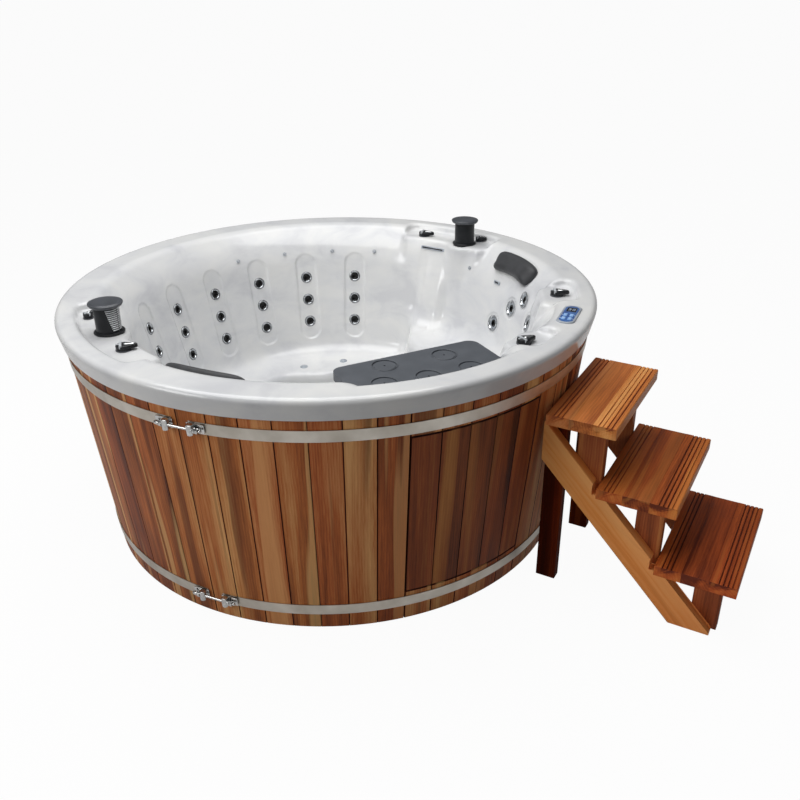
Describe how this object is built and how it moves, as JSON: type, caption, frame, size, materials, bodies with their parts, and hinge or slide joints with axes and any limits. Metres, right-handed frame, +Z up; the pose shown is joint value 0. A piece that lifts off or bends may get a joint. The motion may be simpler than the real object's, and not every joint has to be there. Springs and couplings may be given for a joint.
{
  "type": "hot tub",
  "caption": "Round moulded spa shell with jets, pop-up speakers, valves and a lift-off filter cover, in a cedar stave skirt with steel hoops and free-standing steps.",
  "frame": {"origin": "on the floor, under the centre of the round tub", "axes": "+Z up; -Y towards the side that faces the viewer in the picture, with the filter cover and access panel; +X to the viewer's right, towards the side where the steps stand"},
  "size_m": [2.5224, 2.1, 0.987],
  "materials": {
    "acrylic": "polished, pearl white with soft grey marbling",
    "cedar": "oiled, strongly varied red-brown to honey",
    "pale_wood": "oiled honey timber",
    "plywood": "bare plywood",
    "stainless": "brushed round the band",
    "bright_steel": "polished fasteners",
    "chrome": "bright trim",
    "black_plastic": "satin black moulding",
    "grey_plastic": "satin mid-grey moulding",
    "silver_plastic": "silver-grey moulding with a dark window",
    "key_plastic": "blue keys",
    "pipe_plastic": "white pipe and fittings",
    "hose_rubber": "black flexible hose",
    "motor_paint": "dark blue-grey paint",
    "satin_fitting": "silver-grey moulding",
    "filter_cloth": "pleated filter cloth",
    "pillow_foam": "soft dark foam skin",
    "lens_plastic": "clear lens over a light"
  },
  "bodies": {
    "tub": {"tub_shell": "acrylic", "skirt_staves": "cedar", "upper_hoop": "stainless", "lower_hoop": "stainless", "hoop_lugs": "bright_steel", "draw_bolts": "bright_steel", "base_pan": "black_plastic", "frame_rings": "plywood", "frame_posts": "plywood", "footwell_bearers": "pale_wood", "small_jets": "chrome", "jet_bodies": "pipe_plastic", "water_rails": "pipe_plastic", "air_rails": "pipe_plastic", "water_main": "pipe_plastic", "air_main": "pipe_plastic", "hoses": "hose_rubber", "pump_wet_ends": "black_plastic", "pump_motors": "motor_paint", "heater": "stainless", "control_box": "motor_paint", "air_blower": "black_plastic", "suction_grilles": "satin_fitting", "drain_fitting": "satin_fitting", "seat_air_fittings": "satin_fitting", "filter_canister": "pipe_plastic", "speaker_sleeves": "black_plastic", "valve_bodies": "black_plastic", "control_panel": "silver_plastic", "back_pillow": "pillow_foam", "front_pillow": "pillow_foam", "water_spouts": "satin_fitting", "waterline_lights": "lens_plastic"},
    "steps": {"step_treads": "cedar", "step_stringers": "pale_wood", "step_uprights": "cedar"},
    "access_panel_body": {"access_panel": "cedar"},
    "filter_cover_body": {"filter_cover": "grey_plastic"},
    "filter_cartridge_body": {"filter_cartridge": "filter_cloth"},
    "left_collar_body": {"left_collar": "black_plastic"},
    "left_speaker_body": {"left_tower": "black_plastic", "left_grille": "chrome"},
    "back_collar_body": {"back_collar": "black_plastic"},
    "back_speaker_body": {"back_tower": "black_plastic", "back_grille": "chrome"},
    "left_large_knob_body": {"left_large_knob": "black_plastic"},
    "left_small_knob_body": {"left_small_knob": "black_plastic"},
    "back_large_knob_body": {"back_large_knob": "black_plastic"},
    "back_small_knob_body": {"back_small_knob": "black_plastic"},
    "right_knob_body": {"right_knob": "black_plastic"},
    "front_knob_body": {"front_knob": "black_plastic"},
    "seat_jet_1_body": {"seat_jet_1": "chrome"},
    "seat_jet_2_body": {"seat_jet_2": "chrome"},
    "seat_jet_3_body": {"seat_jet_3": "chrome"},
    "seat_jet_4_body": {"seat_jet_4": "chrome"},
    "key_1_body": {"key_1": "key_plastic"},
    "key_2_body": {"key_2": "key_plastic"},
    "key_3_body": {"key_3": "key_plastic"},
    "key_4_body": {"key_4": "key_plastic"}
  },
  "joints": [
    {"name": "steps_pull_away", "type": "slide", "parent": "tub", "child": "steps", "axis": [0.83, -0.5577, 0], "range_m": [0, 0.4]},
    {"name": "access_panel_pull", "type": "slide", "parent": "tub", "child": "access_panel_body", "axis": [0.4679, -0.8838, 0], "range_m": [0, 0.15]},
    {"name": "filter_cover_lift", "type": "slide", "parent": "tub", "child": "filter_cover_body", "axis": [0, 0, 1], "range_m": [0, 0.15]},
    {"name": "filter_cartridge_lift", "type": "slide", "parent": "tub", "child": "filter_cartridge_body", "axis": [0, 0, 1], "range_m": [0, 0.022]},
    {"name": "left_speaker_turn", "type": "hinge", "parent": "tub", "child": "left_collar_body", "pos_m": [-0.7583, -0.34718, 0.877], "axis": [0, 0, 1], "range_deg": [-90, 90]},
    {"name": "left_speaker_rise", "type": "slide", "parent": "left_collar_body", "child": "left_speaker_body", "axis": [0, 0, 1], "range_m": [-0.087, 0]},
    {"name": "back_speaker_turn", "type": "hinge", "parent": "tub", "child": "back_collar_body", "pos_m": [0.60396, 0.57514, 0.877], "axis": [0, 0, 1], "range_deg": [-90, 90]},
    {"name": "back_speaker_rise", "type": "slide", "parent": "back_collar_body", "child": "back_speaker_body", "axis": [0, 0, 1], "range_m": [-0.087, 0]},
    {"name": "left_large_knob_turn", "type": "hinge", "parent": "tub", "child": "left_large_knob_body", "pos_m": [-0.67964, -0.51214, 0.881], "axis": [0, 0, 1], "range_deg": [-90, 90]},
    {"name": "left_small_knob_turn", "type": "hinge", "parent": "tub", "child": "left_small_knob_body", "pos_m": [-0.86116, -0.20834, 0.881], "axis": [0, 0, 1], "range_deg": [-60, 60]},
    {"name": "back_large_knob_turn", "type": "hinge", "parent": "tub", "child": "back_large_knob_body", "pos_m": [0.4391, 0.71375, 0.881], "axis": [0, 0, 1], "range_deg": [-60, 90]},
    {"name": "back_small_knob_turn", "type": "hinge", "parent": "tub", "child": "back_small_knob_body", "pos_m": [0.67676, 0.60085, 0.881], "axis": [0, 0, 1], "range_deg": [-60, 0]},
    {"name": "right_knob_turn", "type": "hinge", "parent": "tub", "child": "right_knob_body", "pos_m": [0.84549, -0.13997, 0.881], "axis": [0, 0, 1], "range_deg": [-90, 90]},
    {"name": "front_knob_turn", "type": "hinge", "parent": "tub", "child": "front_knob_body", "pos_m": [0.62327, -0.58529, 0.881], "axis": [0, 0, 1], "range_deg": [-90, 90]},
    {"name": "seat_jet_1_turn", "type": "hinge", "parent": "tub", "child": "seat_jet_1_body", "pos_m": [0.68346, 0.25282, 0.618], "axis": [0.9073, 0.3356, -0.2534], "range_deg": [-90, 90]},
    {"name": "seat_jet_2_turn", "type": "hinge", "parent": "tub", "child": "seat_jet_2_body", "pos_m": [0.73733, 0.16076, 0.717], "axis": [0.9451, 0.2061, -0.2534], "range_deg": [-90, 90]},
    {"name": "seat_jet_3_turn", "type": "hinge", "parent": "tub", "child": "seat_jet_3_body", "pos_m": [0.76955, 0.07004, 0.786], "axis": [0.9634, 0.0877, -0.2534], "range_deg": [-90, 90]},
    {"name": "seat_jet_4_turn", "type": "hinge", "parent": "tub", "child": "seat_jet_4_body", "pos_m": [0.75723, -0.05694, 0.735], "axis": [0.9646, -0.0725, -0.2534], "range_deg": [-90, 90]},
    {"name": "key_1_press", "type": "slide", "parent": "tub", "child": "key_1_body", "axis": [0, 0, 1], "range_m": [-0.001, 0], "stiffness_N_per_m": 400, "springref_m": 0.0005},
    {"name": "key_2_press", "type": "slide", "parent": "tub", "child": "key_2_body", "axis": [0, 0, 1], "range_m": [-0.001, 0], "stiffness_N_per_m": 400, "springref_m": 0.0005},
    {"name": "key_3_press", "type": "slide", "parent": "tub", "child": "key_3_body", "axis": [0, 0, 1], "range_m": [-0.001, 0], "stiffness_N_per_m": 400, "springref_m": 0.0005},
    {"name": "key_4_press", "type": "slide", "parent": "tub", "child": "key_4_body", "axis": [0, 0, 1], "range_m": [-0.001, 0], "stiffness_N_per_m": 400, "springref_m": 0.0005}
  ]
}
